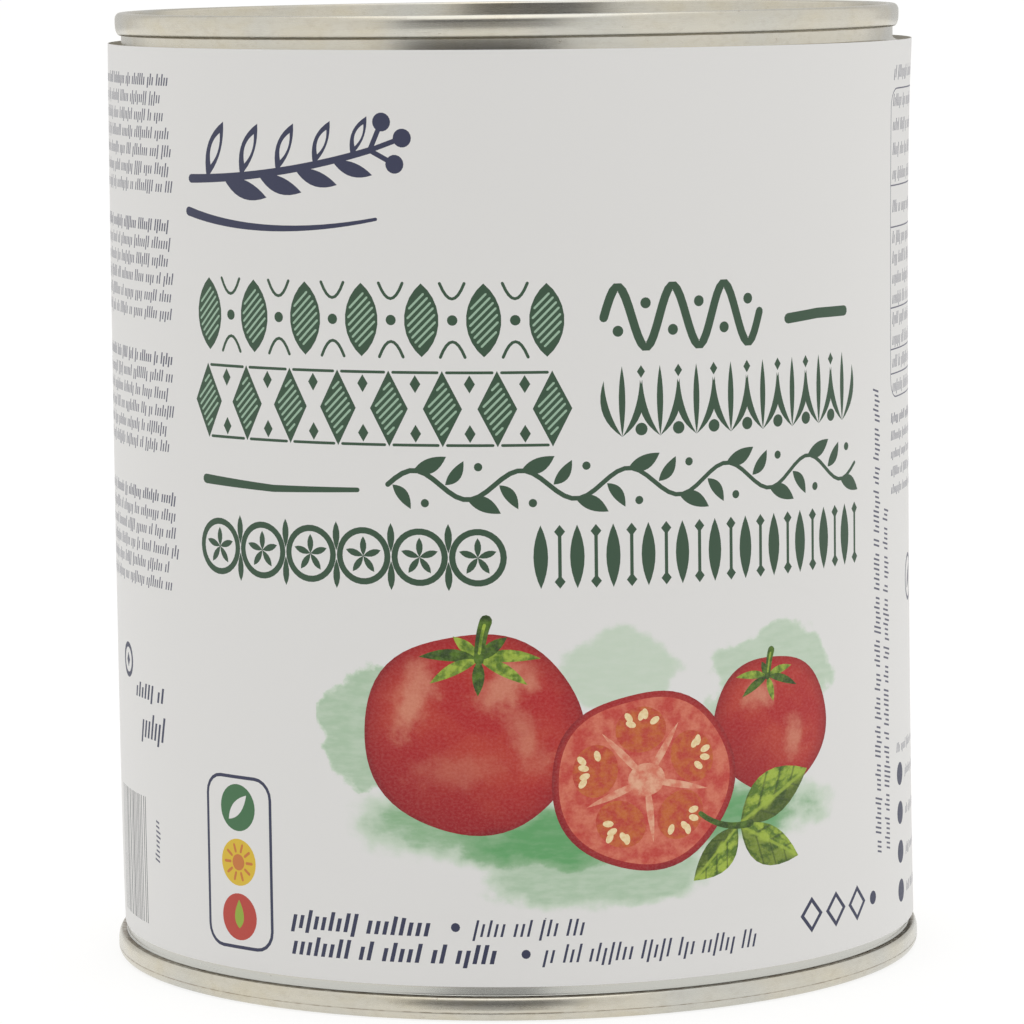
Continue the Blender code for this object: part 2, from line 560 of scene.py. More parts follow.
def pointed_ovals(left, right, bottom, top, count):
    """A band of hatched pointed ovals with hairline arcs between them."""
    places, gaps, pitch, middle, height = band(left, right, bottom, top, count)
    for x in places:
        width = pitch * 0.56
        inner = vesica((x, middle), width - 0.75, height - 1.9, 6)
        yield from hatched(vesica((x, middle), width, height), inner)
    for x in gaps:
        for end, away in ((top, -1), (bottom, 1)):
            dip = curve((x - 1.45, end), (x, end + away * 3.6), (x + 1.45, end), 8)
            yield "green", stroke(dip, 0.36)
        yield "green", disc((x, middle), 0.62, 14)


def diamonds(left, right, bottom, top, count):
    """A band of hatched lozenges, linked by hairlines."""
    places, gaps, pitch, middle, height = band(left, right, bottom, top, count)
    for x in places:
        width = pitch * 0.72
        inner = lozenge((x, middle), width - 1.15, height - 2.2)
        yield from hatched(lozenge((x, middle), width, height), inner)
    for x in gaps:
        reach = pitch / 2 - 0.55
        for end, away in ((top, -1), (bottom, 1)):
            level = end + away * 0.2
            yield "green", stroke([(x - reach, level), (x + reach, level)], 0.34)
            yield "green", lozenge((x, level + away * 1.35), 1.3, 2.1)


def wave_line(left, right, middle, swing, periods, steps):
    points = []
    for step in range(periods * steps + 1):
        share = step / (periods * steps)
        points.append((left + (right - left) * share, middle + swing * math.sin(math.tau * periods * share)))
    return points


def wave(left, right, bottom, top, periods, pen):
    """A round wave of the pen, with a dot in each bay."""
    middle, swing = (bottom + top) / 2, (top - bottom - pen) / 2
    start, end = left + pen / 2, right - pen / 2
    yield "green", stroke(wave_line(start, end, middle, swing, periods, 18), pen)
    for half, x in enumerate(modules(start, end, 2 * periods)[0]):
        side = -1 if half % 2 == 0 else 1
        yield "green", disc((x, middle + side * swing * 0.45), pen * 0.62, 16)


def tufts(left, right, bottom, top, count):
    """A band of tufts, each of three pointed blades that spread from one foot, with a bead between."""
    places, gaps, pitch, _, height = band(left, right, bottom, top, count)
    for x in places:
        foot = (x, bottom)
        for side in (-1, 1):
            tip = (x + side * pitch * 0.47, bottom + height * 0.80)
            yield "green", leaf(foot, tip, pitch * 0.19, side * -0.26, 0.5)
        yield "green", leaf(foot, (x, top), pitch * 0.17, 0.0, 0.55)
    for x in gaps:
        yield "green", disc((x, bottom + 0.85), 0.75, 16)
        yield "green", lozenge((x, top - 0.7), 1.0, 1.5)


def vine(left, right, bottom, top, waves=5):
    """A thin running stem with leaves and dots to both sides."""
    middle, height = (bottom + top) / 2, top - bottom
    swing = height * 0.24
    yield "green", stroke(wave_line(left, right, middle, swing, waves, 14), 0.62, 0.45)
    for half, x in enumerate(modules(left, right, 2 * waves)[0]):
        up = 1 if half % 2 == 0 else -1
        tip = (x + 3.9, middle + up * height * 0.47)
        yield "green", leaf((x, middle + up * swing), tip, 1.75, up * -0.12)
        yield "green", leaf((x - 2.6, middle), (x - 0.4, middle - up * height * 0.40), 1.35, up * 0.14)
        yield "green", disc((x + 1.3, middle - up * height * 0.30), 0.5, 12)


def rounds(left, right, bottom, top, count):
    """A band of rings with a flower of five leaves in each, and small leaves between."""
    places, gaps, _, middle, height = band(left, right, bottom, top, count)
    radius = height * 0.43
    for x in places:
        yield "green", disc((x, middle), radius, 30)
        yield "paper", disc((x, middle), radius - 0.75, 30)
        for ray in range(5):
            tip = polar((x, middle), radius * 0.68, 90 + 72 * ray)
            yield "green", leaf((x, middle), tip, radius * 0.24, 0.0, 0.55, 5)
    for x in gaps:
        for side in (-1, 1):
            tip = (x, middle + side * height * 0.5)
            yield "green", leaf((x, middle + side * 0.5), tip, 0.9, 0.0, 0.6, 5)


def spindles(left, right, bottom, top, count):
    """A band of slim solid spindles, each beside a hairline with a knob at both ends."""
    places, _, pitch, middle, height = band(left, right, bottom, top, count)
    low, high = bottom + 0.8, top - 0.8
    for x in places:
        yield "green", vesica((x - pitch * 0.2, middle), pitch * 0.40, height, 8)
        thin = x + pitch * 0.32
        yield "green", stroke([(thin, low), (thin, high)], 0.42)
        for end in (low, high):
            yield "green", lozenge((thin, end), 1.3, 1.6)


def branch(left, bottom, right, top):
    """A navy twig of the pen, with open and solid leaves and berries, over one long sweep."""
    width, height = right - left, top - bottom
    bow = (left + width * 0.45, bottom - 0.9)
    sweep = curve((left, bottom + 2.1), bow, (right - 3.0, bottom + 1.8), 16)
    yield "navy", stroke(sweep, 1.1, 0.4)
    bow = (left + width * 0.5, bottom + 6.4)
    stem = curve((left + 0.6, bottom + 6.0), bow, (right - 3.6, top - 5.0), 20)
    for index in range(9):
        base = stem[2 + 2 * index]
        side = 1.0 if index % 2 == 0 else -1.0
        length = height * (0.50 - 0.02 * index)
        tip = polar(base, length, 24.0 + side * 42.0)
        yield "navy", leaf(base, tip, length * 0.31, side * 0.06, 0.5)
        if side > 0:
            near, far = between(base, tip, 0.24), between(base, tip, 0.80)
            yield "paper", leaf(near, far, length * 0.17, side * 0.05, 0.5)
    yield "navy", stroke(stem, 1.05, 0.75)
    for turn, reach in ((66.0, 3.6), (20.0, 4.2), (-28.0, 3.4)):
        tip = polar(stem[-1], reach, turn)
        yield "navy", stroke([stem[-1], tip], 0.6)
        yield "navy", disc(tip, 1.1, 18)


LEAN = 0.24  # how far a tick of the small print leans for each millimetre of height


def words(left, right, level, size, ink="grey", pen=0.25, pitch=0.6):
    """A line of small print as runs of slanting ticks of uneven height, with a space between the runs."""
    x = left + pen
    while x < right - 2 * pitch:
        for _ in range(random.randint(2, 9)):
            if x > right - pen:
                break
            low = -size * random.choice((0.5, 0.5, 0.5, 0.5, 0.72))
            high = size * random.choice((0.5, 0.5, 0.2, 0.2, 0.2))
            foot, head = x + LEAN * low - pen / 2, x + LEAN * high - pen / 2
            low, high = level + low, level + high
            yield ink, [(foot, low), (foot + pen, low), (head + pen, high), (head, high)]
            x += pitch
        x += pitch * 0.9


def strong_words(left, right, level, size):
    return words(left, right, level, size, "navy", 0.52, 1.02)


def medium_words(left, right, level, size):
    return words(left, right, level, size, "navy", 0.3, 0.8)


def paragraph(left, right, top, lines, pitch, size, ragged):
    """Lines of small print with an uneven right side, the first one a little bolder."""
    for line in range(lines):
        end = right - random.uniform(0.0, ragged)
        yield from words(left, end, top - pitch * (line + 0.5), size, "grey", 0.32 if line == 0 else 0.27)


def upright_words(u, bottom, top, size):
    """A line of small print that reads upwards."""
    for ink, outline in words(bottom, top, 0.0, size):
        yield ink, [(u - y, x) for x, y in outline]


def ringed(ink, centre, radius, line, corners):
    """A thin ring on the paper."""
    yield ink, disc(centre, radius, corners)
    yield "paper", disc(centre, radius - line, corners)


def frame_line(ink, left, bottom, right, top, corner, line):
    """A thin outline with round corners."""
    yield ink, box(left, bottom, right, top, corner)
    yield "paper", box(left + line, bottom + line, right - line, top - line, corner - line)


def icon_panel(left, bottom, right, top):
    """A navy outline with three round signs in it: a leaf, a sun and a drop."""
    yield from frame_line("navy", left, bottom, right, top, 2.6, 0.42)
    middle = (left + right) / 2
    pitch = (top - bottom - 1.2) / 3
    radius = pitch * 0.43
    first, second, third = ((middle, top - 0.6 - pitch * (index + 0.5)) for index in range(3))
    yield "leaf_green", disc(first, radius, 32)
    yield "paper", leaf((middle - 1.5, first[1] - 1.5), (middle + 1.5, first[1] + 1.6), 1.5)
    yield "yellow", disc(second, radius, 32)
    for ray in range(10):
        yield "orange", stroke([polar(second, reach, 36 * ray) for reach in (1.35, 2.2)], 0.36, caps=3)
    yield "orange", disc(second, 1.0, 18)
    yield "red", disc(third, radius, 32)
    yield "lime", leaf((middle, third[1] + 2.1), (middle, third[1] - 1.4), 1.5, 0.0, 0.7)


def bar_code(left, bottom, right, top):
    """Upright bars of uneven width, with no figures."""
    x = left
    while x < right - 0.4:
        thick = random.choice((0.2, 0.2, 0.36, 0.56))
        yield "black", box(x, bottom, x + thick, top)
        x += thick + random.choice((0.3, 0.42, 0.66))


TABLE_CELLS = ((11.9, 4), (5.1, 1), (9.9, 4), (5.1, 2), (3.0, 1), (3.0, 1))  # height and lines of each row
TABLE_LINE = 0.17


def value_table(left, right, top):
    """A ruled table with short runs of ticks for its entries."""
    line = TABLE_LINE
    bottom = top - sum(height for height, _ in TABLE_CELLS)
    yield from frame_line("grey", left, bottom, right, top, 2.4, line)
    columns = [left + (right - left) * share for share in (0.46, 0.73)]
    for x in columns:
        yield "grey", box(x - line / 2, bottom + line, x + line / 2, top - line)
    ruled = top
    for height, lines in TABLE_CELLS:
        if ruled < top:
            yield "grey", box(left + line / 2, ruled - line / 2, right - line / 2, ruled + line / 2)
        for index in range(lines):
            level = ruled - height * (index + 0.5) / lines
            yield from words(left + 0.9, columns[0] - 2.0, level, 1.5)
            for x in columns:
                yield from words(x + 1.0, x + 5.2, level, 1.5)
        ruled -= height


def front_print():
    """The front: the twig, four rows of green bands, the icon panel and the lines at the foot."""
    yield from branch(-43.4, 92.6, -12.8, 107.4)
    yield from pointed_ovals(-43.5, 7.9, 78.4, 87.0, 7)
    yield from wave(10.4, 31.9, 78.7, 86.9, 3, 1.05)
    yield "green", stroke([(35.9, 81.7), (41.0, 82.05), (46.4, 82.0)], 1.25)
    yield from diamonds(-43.5, 8.0, 67.9, 76.8, 8)
    yield from tufts(10.7, 48.2, 68.8, 77.1, 8)
    yield "green", stroke([(-41.0, 62.9), (-30.0, 62.4), (-18.6, 62.7)], 1.15, 0.55)
    yield from vine(-14.8, 48.6, 59.9, 67.0)
    yield from rounds(-42.2, -0.7, 51.0, 58.9, 6)
    yield from spindles(1.9, 49.3, 51.2, 58.7, 11)
    yield from icon_panel(-42.1, 6.4, -31.2, 27.5)
    for level, strong_end, dot, start, end in ((11.1, -9.4, -7.4, -5.2, 9.6), (7.9, -1.0, 0.9, 3.0, 32.6)):
        yield from strong_words(-28.5, strong_end, level, 2.3)
        yield "navy", disc((dot, level), 0.55, 12)
        yield from medium_words(start, end, level, 2.2)


def weight_mark(left, right, level, height):
    """Three outlined lozenges and a dot, where a figure would be."""
    places, pitch = modules(left, right, 4)
    for x in places[:3]:
        yield "navy", lozenge((x, level), pitch * 0.86, height)
        yield "paper", lozenge((x, level), pitch * 0.58, height * 0.68)
    yield "navy", disc((places[3] - 0.6, level), 0.85, 16)


def left_print():
    """The left side and the back beyond it: four blocks of small print, a sign and the bars."""
    for top, lines in ((111.2, 7), (93.8, 6), (77.8, 6), (61.0, 6)):
        yield from paragraph(-100.0, -46.6, top, lines, 2.12, 1.4, 0.9)
        yield from paragraph(-146.0, -108.0, top, lines, 2.12, 1.4, 8.0)
    sign = (-63.5, 38.5)
    yield from ringed("navy", sign, 2.2, 0.65, 24)
    yield "navy", lozenge(sign, 1.4, 1.9)
    yield from strong_words(-60.2, -50.4, 35.4, 1.9)
    yield from strong_words(-58.2, -48.0, 31.2, 3.1)
    yield from bar_code(-69.4, 6.4, -57.0, 22.2)
    yield from upright_words(-53.9, 14.6, 21.4, 1.3)


def right_print():
    """The right side and the back beyond it: upright lines, a table, small print, a sign and a list."""
    yield from upright_words(54.5, 14.6, 73.0, 1.7)
    yield from upright_words(57.4, 14.6, 57.4, 1.7)
    yield from weight_mark(37.0, 55.6, 9.4, 4.4)
    yield from words(61.0, 82.0, 110.2, 1.5)
    yield from value_table(59.8, 104.0, 108.2)
    yield from paragraph(59.9, 104.0, 68.9, 5, 2.2, 1.15, 5.0)
    yield from paragraph(110.0, 148.0, 108.2, 9, 2.2, 1.15, 6.0)
    yield from paragraph(110.0, 148.0, 82.0, 7, 2.2, 1.15, 6.0)
    yield from ringed("grey", (70.5, 47.0), 3.0, 0.5, 30)
    yield "grey", leaf((69.1, 45.6), (71.8, 48.6), 1.3)
    for level in (23.2, 18.3, 13.4, 8.5):
        yield "navy", disc((62.9, level), 1.45, 22)
        yield from words(65.9, 84.0, level, 1.2)
    yield from words(61.4, 80.0, 26.6, 1.2)


# Inks, as the photograph shows them on lit paper

PAPER_SEEN = 0.694
PAPER_ALBEDO = 0.702
INKS = {
    "paper": (218, 217, 215),
    "green": (57, 81, 62),
    "hatch": (150, 178, 155),
    "navy": (57, 60, 83),
    "grey": (88, 89, 106),
    "black": (70, 70, 74),
    "leaf_green": (68, 110, 74),
    "lime": (143, 166, 62),
    "yellow": (210, 178, 56),
    "orange": (192, 117, 62),
    "red": (178, 70, 60),
}


def seen(*colour):
    """The paint that looks like this sRGB colour on the lit paper."""
    return linear(colour, PAPER_ALBEDO / PAPER_SEEN)


def on_paper(name):
    """A material with the faint tooth and the soft shine of coated label paper."""
    tree = Tree(name)
    flat = tree.printed()
    fibres = tree.noise(flat, (2.2, 3.0, 1.0), 4.0, 0.6)
    cockle = tree.noise(flat, (0.045, 0.09, 1.0), 2.0, 0.5)
    tree.set(Roughness=tree.span(fibres, 0.3, 0.7, 0.44, 0.54), Specular_IOR_Level=0.32)
    tree.bump(tree.math("ADD", tree.math("MULTIPLY", fibres, 0.05), cockle), 0.0002, 0.5)
    return tree


def ink(name):
    """Paper or one flat printing ink; the colour is even, as offset print is."""
    tree = on_paper("label_" + name)
    tree.set(Base_Color=seen(*INKS[name]))
    return tree.material


# The painted picture

BARE = seen(*INKS["paper"])
WASH_STRONG = seen(96, 156, 100)
WASH_MID = seen(134, 172, 132)
WASH_PALE = seen(194, 207, 190)
RED_EDGE = seen(120, 16, 28)
RED_DARK = seen(146, 22, 30)
RED = seen(170, 32, 34)
RED_ORANGE = seen(180, 60, 46)
RED_SHINE = seen(204, 132, 106)
FLESH = seen(186, 62, 52)
FLESH_PALE = seen(205, 112, 88)
CORE = seen(220, 164, 134)
GEL = seen(190, 98, 46)
SEED = seen(222, 194, 142)
SEED_PALE = seen(232, 212, 168)
LEAF_DARK = seen(40, 64, 18)
LEAF_MID = seen(80, 112, 28)
LEAF_LIGHT = seen(154, 176, 62)
GRAIN_PALE = seen(236, 226, 214)
GRAIN_DARK = seen(60, 40, 34)

# Layers of the wash: middle, half sizes, strength, and how softly each fades
WASH_BLOBS = (
    ((8.0, 21.5), (19.0, 4.6), 1.0, 0.6),
    ((27.0, 23.5), (14.0, 4.6), 0.9, 0.7),
    ((-10.0, 23.5), (10.0, 4.8), 0.6, 0.6),
    ((34.0, 38.5), (10.5, 7.0), 0.34, 0.14),
    ((-16.5, 35.0), (8.0, 8.0), 0.42, 0.10),
    ((10.0, 17.0), (15.0, 4.2), 0.42, 0.3),
    ((12.5, 41.0), (8.0, 5.0), 0.26, 0.2),
)

# The fruits: middle, half sizes and turn
WHOLE = ((-5.2, 34.3), (13.2, 12.2), 0.08)
SMALL = ((33.2, 33.6), (9.0, 8.4), -0.15)
HALVED = ((15.6, 28.2), (11.6, 10.9), 0.1)

# The shines on a fruit, as shares of its size: middle, half sizes, turn and strength
WHOLE_SHINES = (
    ((-0.50, 0.34), (0.24, 0.40), -0.5, 0.85),
    ((0.34, 0.42), (0.34, 0.22), 0.4, 0.8),
    ((0.50, -0.15), (0.20, 0.42), 0.2, 0.55),
    ((-0.1, -0.35), (0.5, 0.2), 0.1, 0.3),
)
SMALL_SHINES = (
    ((-0.34, 0.36), (0.34, 0.26), 0.5, 0.8),
    ((0.40, -0.2), (0.26, 0.34), 0.0, 0.7),
)

# The leaves: base, tip, width, bend and how dark the shaded half is
LEAVES = (
    ((28.0, 22.0), (38.6, 27.4), 5.6, 0.10, 0.8),
    ((28.0, 21.6), (37.0, 17.0), 4.8, -0.12, 0.48),
    ((27.6, 21.6), (21.5, 15.6), 4.2, 0.10, 0.8),
)
LEAF_STEM = ((22.5, 23.6), (25.5, 21.2), (29.5, 21.8))

PICTURE_MIDDLE = (10.5, 31.0)
PICTURE_HALF = (35.0, 19.0)
PICTURE_CORNER = 12.0


def grainy(tree, colour, depth=0.05):
    """Fine mottling, as of paint on rough paper."""
    speck = tree.noise(tree.printed(), (2.6, 3.2, 1.0), 3.0, 0.7)
    lifted = tree.over(colour, GRAIN_PALE, speck, 0.35, 0.75, depth)
    return tree.over(lifted, GRAIN_DARK, speck, 0.62, 0.3, depth)


def uneven(tree, away, *blots):
    """A distance made ragged by noises, each given with its weight."""
    for noise, weight in blots:
        away = tree.plus(away, tree.math("SUBTRACT", noise, 0.5), weight)
    return away


def wash_paint():
    """Thin green watercolour in overlapping layers with ragged borders."""
    tree = on_paper("picture_wash")
    flat = tree.printed()
    warp = tree.noise(flat, (0.13, 0.16, 1.0), 2.0, 0.5)
    torn = tree.noise(flat, (0.5, 0.55, 1.0), 4.0, 0.6)
    fine = tree.noise(flat, (0.35, 1.1, 1.0), 4.0, 0.6)
    strength = 0.0
    for centre, size, most, soft in WASH_BLOBS:
        away = uneven(tree, tree.vector("LENGTH", tree.local(centre, size)), (warp, 1.1), (torn, 0.35))
        layer = tree.span(away, 1.0 + soft * 0.3, 1.0 - soft, 0.0, most)
        strength = tree.math("MAXIMUM", strength, layer)
    strength = tree.math("MULTIPLY", strength, tree.span(fine, 0.25, 0.7, 0.78, 1.0))
    colour = tree.over(BARE, WASH_PALE, strength, 0.0, 0.26)
    colour = tree.over(colour, WASH_MID, strength, 0.2, 0.62)
    tree.set(Base_Color=tree.over(colour, WASH_STRONG, strength, 0.55, 0.98))
    return tree.material


def tomato_paint(name, fruit, shines, depth=1.0):
    """Red skin, darker to its lower left and its edge, with soft uneven shines."""
    tree = on_paper("picture_" + name)
    spot = tree.local(*fruit)
    warp = tree.noise(spot, (1.3, 1.3, 1.0), 4.0, 0.6)
    blot = tree.noise(spot, (2.4, 2.0, 1.0), 2.0, 0.5)
    fine = tree.noise(spot, (7.0, 6.0, 1.0), 5.0, 0.65)
    colour = tree.over(RED, RED_ORANGE, warp, 0.40, 0.66)
    slope = tree.vector("DOT_PRODUCT", spot, (0.5, 0.75, 0.0))
    colour = tree.over(colour, RED_DARK, slope, 0.0, -0.9, 0.8 * depth)
    for middle, half, turn, most in shines:
        far = tree.vector("LENGTH", tree.local(middle, half, turn, spot))
        far = uneven(tree, far, (blot, 1.8), (fine, 1.2))
        colour = tree.over(colour, RED_SHINE, far, 1.15, 0.25, most)
    edge = uneven(tree, tree.vector("LENGTH", spot), (blot, 0.12))
    colour = tree.over(colour, RED_DARK, edge, 0.74, 0.98, 0.7)
    colour = tree.over(colour, RED_EDGE, edge, 0.93, 1.02, 0.7)
    tree.set(Base_Color=grainy(tree, colour))
    return tree.material


def leaf_paint(name, base, tip, dark):
    """A leaf painted light on one half and dark on the other, puckered between slanting veins."""
    tree = on_paper("picture_" + name)
    length = math.dist(base, tip)
    spot = tree.local(base, (length, length), math.atan2(tip[1] - base[1], tip[0] - base[0]))
    along, across, _ = tree.split(spot)
    away = tree.math("ABSOLUTE", across)
    blot = tree.noise(spot, (4.0, 7.0, 1.0), 4.0, 0.6)
    colour = tree.over(LEAF_MID, LEAF_LIGHT, blot, 0.40, 0.58)
    colour = tree.over(colour, LEAF_DARK, uneven(tree, across, (blot, 0.16)), 0.03, -0.05, dark)
    slant = tree.math("MULTIPLY", tree.math("SUBTRACT", along, away), 13.0)
    ribs = uneven(tree, tree.math("ABSOLUTE", tree.math("SINE", slant)), (blot, 0.5))
    colour = tree.over(colour, LEAF_DARK, ribs, 0.42, 0.05, 0.6)
    colour = tree.over(colour, LEAF_LIGHT, away, 0.028, 0.008, 0.7)
    tree.set(Base_Color=grainy(tree, colour))
    return tree.material


def flat_paint(name, low, high, scale):
    """Two tones of one colour, blotted into each other."""
    tree = on_paper("picture_" + name)
    blot = tree.noise(tree.printed(), (scale, scale, 1.0), 4.0, 0.6)
    tree.set(Base_Color=grainy(tree, tree.over(low, high, blot, 0.36, 0.64)))
    return tree.material


def paints():
    """The materials of the picture, by the names that its shapes give."""
    made = {
        "wash": wash_paint(),
        "whole": tomato_paint("whole", WHOLE, WHOLE_SHINES),
        "small": tomato_paint("small", SMALL, SMALL_SHINES),
        "cut_skin": tomato_paint("cut_skin", HALVED, (), 0.6),
    }
    for name, low, high, scale in (
        ("flesh", FLESH, FLESH_PALE, 0.45),
        ("gel", RED_ORANGE, GEL, 0.8),
        ("seed", SEED, SEED_PALE, 2.0),
        ("core", FLESH_PALE, CORE, 0.7),
        ("calyx", LEAF_DARK, LEAF_MID, 0.8),
        ("calyx_light", LEAF_MID, LEAF_LIGHT, 0.8),
    ):
        made[name] = flat_paint(name, low, high, scale)
    for index, (base, tip, _, _, dark) in enumerate(LEAVES):
        made[f"leaf_{index}"] = leaf_paint(f"leaf_{index}", base, tip, dark)
    return made


def tomato_outline(centre, size, turn=0.0, corners=64):
    """A round with five slight lobes, flatter at its top."""
    points = []
    for step in range(corners):
        angle = math.tau * step / corners
        reach = 1.0 + 0.015 * math.cos(5 * angle + 0.6) - 0.05 * max(0.0, math.sin(angle)) ** 6
        points.append(around(centre, (size[0] * reach, size[1] * reach), angle, turn))
    return points


def calyx(centre, reach, sepals, phase):
    """The green star on top of a tomato, seen at a slant, with its stalk."""
    for index in range(sepals):
        angle = phase + math.tau * index / sepals
        tip = around((centre[0], centre[1] - 0.6), (reach, reach * 0.5), angle)
        sepal = leaf(centre, tip, reach * 0.2, 0.12 * math.cos(angle), 0.4, 7)
        yield "calyx" if index % 2 else "calyx_light", sepal
    top = (centre[0] + reach * 0.12, centre[1] + reach * 0.62)
    stalk = curve(centre, (centre[0] + 0.2, centre[1] + reach * 0.4), top, 7)
    yield "calyx", stroke(stalk, reach * 0.16, reach * 0.2)
    yield "calyx_light", stroke(stalk[1:-1], reach * 0.05)


def cut_half(centre, size, turn):
    """The cut face of a tomato: skin, flesh, five chambers of gel with seeds, and the core."""
    def part(share):
        return (size[0] * share, size[1] * share)

    yield "cut_skin", tomato_outline(centre, size, turn)
    yield "flesh", tomato_outline(centre, part(0.93), turn)
    for index in range(5):
        angle = turn + math.radians(90 + 72 * index)
        middle = around(centre, part(0.55), angle)
        yield "gel", ellipse(middle, (size[0] * 0.235, size[1] * 0.29), angle, 26)
        for seed in range(5):
            swing = angle + (seed - 2) * 0.55
            x = middle[0] + size[0] * 0.15 * math.cos(swing + (0.4 if seed % 2 else -0.4))
            y = middle[1] + size[1] * 0.17 * math.sin(swing)
            yield "seed", ellipse((x, y), (0.66, 0.4), swing, 12)
    yield "core", ellipse(centre, (size[0] * 0.2, size[1] * 0.18), turn, 24)
    for index in range(5):
        angle = turn + math.radians(54 + 72 * index)
        yield "core", leaf(centre, around(centre, part(0.7), angle), 0.9, 0.0, 0.4, 6)


def picture():
    """The painting on the front: tomatoes whole and cut, over a green wash, and three leaves."""
    yield "whole", tomato_outline(*WHOLE)
    yield "small", tomato_outline(*SMALL)
    yield from calyx((WHOLE[0][0] + 1.0, WHOLE[0][1] + 8.6), 7.4, 7, 0.2)
    yield from calyx((SMALL[0][0] - 1.0, SMALL[0][1] + 5.6), 5.0, 6, 0.7)
    yield from cut_half(*HALVED)
    for index, (base, tip, width, bend, _) in enumerate(LEAVES):
        yield f"leaf_{index}", leaf(base, tip, width, bend)
    yield "calyx", stroke(curve(*LEAF_STEM, 8), 0.6, 0.9)


# The paper itself

# Where it is loose: the middle and the reach round the tin, how far it stands off between the ends, and
# what the top and then the foot add, each with the height over which that fades
LOOSE = (
    (80.0, 26.0, -0.28, (0.75, 13.0), (0.52, 27.0)),
    (-80.0, 28.0, 0.06, (-0.33, 28.0), (-0.27, 12.0)),
)


def bulge(u, v):
    """How far the loose paper stands off its even round: flared at the right-hand corners."""
    stand = 0.016 * math.sin(u / 9.0 + 1.3) * math.cos(v / 17.0) + 0.01 * math.sin(u / 4.3 + v / 23.0)
    for side, reach, off, (top, top_fade), (foot, foot_fade) in LOOSE:
        off += top * math.exp((v - LABEL_TOP) / top_fade) + foot * math.exp((LABEL_BOTTOM - v) / foot_fade)
        stand += off * math.exp(-((u - side) / reach) ** 2)
    return stand


def lap(u):
    """How far the paper is lifted where its end lies over its start."""
    share = min(max((u - (HALF_TURN - LAP_RAMP)) / LAP_RAMP, 0.0), 1.0)
    return LAP_LIFT * share * share * (3.0 - 2.0 * share)


def radius_at(u, v, lift):
    return PAPER_RADIUS + bulge(u, v) + lap(u) + lift


def wrapped(u, v, lift):
    """A point of the flat print on the tin, and the paper's outward direction there."""
    step = 0.05
    angle = u / PAPER_RADIUS
    radius = radius_at(u, v, lift)
    slope_u = (radius_at(u + step, v, lift) - radius_at(u - step, v, lift)) / (2 * step)
    slope_v = (radius_at(u, v + step, lift) - radius_at(u, v - step, lift)) / (2 * step)
    out = Vector((math.sin(angle), -math.cos(angle), 0.0))
    round_it = Vector((math.cos(angle), math.sin(angle), 0.0))
    normal = out - round_it * slope_u - Vector((0.0, 0.0, slope_v))
    share = (v - LABEL_BOTTOM) / (LABEL_TOP - LABEL_BOTTOM)
    skew = SKEW[0] + (SKEW[1] - SKEW[0]) * share
    place = Vector((radius * out.x * MM, radius * out.y * MM, (v - skew * math.sin(angle)) * MM))
    return place, normal.normalized()


def ccw(outline):
    area = sum(x0 * y1 - x1 * y0 for (x0, y0), (x1, y1) in zip(outline, outline[1:] + outline[:1]))
    return outline if area > 0 else list(reversed(outline))


def grid_lines(low, high, count):
    return [low + (high - low) * index / count for index in range(count + 1)]


